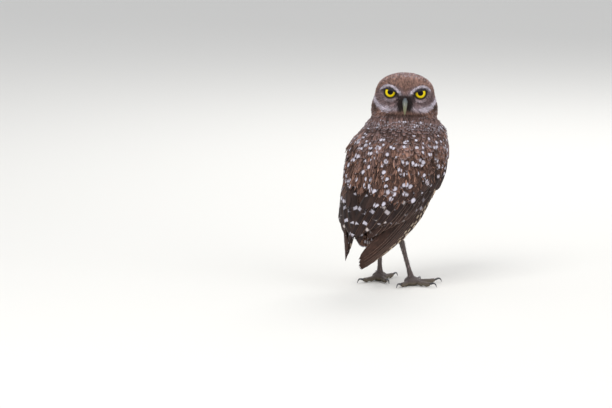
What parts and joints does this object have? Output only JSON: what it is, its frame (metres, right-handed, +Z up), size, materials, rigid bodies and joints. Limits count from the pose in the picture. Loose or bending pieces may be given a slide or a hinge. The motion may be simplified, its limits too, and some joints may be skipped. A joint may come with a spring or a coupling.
{
  "type": "burrowing owl",
  "caption": "Burrowing owl, life-size still model, standing upright on long bare legs, wings folded, head turned right round over its right shoulder to look behind",
  "frame": {"origin": "middle of the bounding box's base, on the floor under the owl, between and just behind its feet", "axes": "+Z up, -Y the way the body and feet face, +X the owl's left side"},
  "size_m": [0.1066, 0.1278, 0.2243],
  "materials": {
    "plumage": "small soft body feathers, warm brown above with round white spots, buff white barred with brown below",
    "flight_feathers": "smooth flight and tail feathers, dark brown with pale bars and spots",
    "eye": "wet bright yellow iris round a black pupil",
    "bill": "horn, grey at the sides and yellow green along the ridge and tip",
    "leg_scales": "bare grey brown skin with fine scales and sparse bristles",
    "claw": "polished blue black horn"
  },
  "bodies": {
    "root": {"head": "plumage", "neck": "plumage", "torso": "plumage", "wing_left": "flight_feathers", "wing_right": "flight_feathers", "tail": "flight_feathers", "shank_left": "plumage", "tarsus_left": "leg_scales", "toe_left_1": "leg_scales", "claw_left_1": "claw", "toe_left_2": "leg_scales", "claw_left_2": "claw", "toe_left_3": "leg_scales", "claw_left_3": "claw", "toe_left_4": "leg_scales", "claw_left_4": "claw", "eye_left": "eye", "shank_right": "plumage", "tarsus_right": "leg_scales", "toe_right_1": "leg_scales", "claw_right_1": "claw", "toe_right_2": "leg_scales", "claw_right_2": "claw", "toe_right_3": "leg_scales", "claw_right_3": "claw", "toe_right_4": "leg_scales", "claw_right_4": "claw", "eye_right": "eye", "bill_upper": "bill", "bill_lower": "bill"}
  },
  "joints": []
}
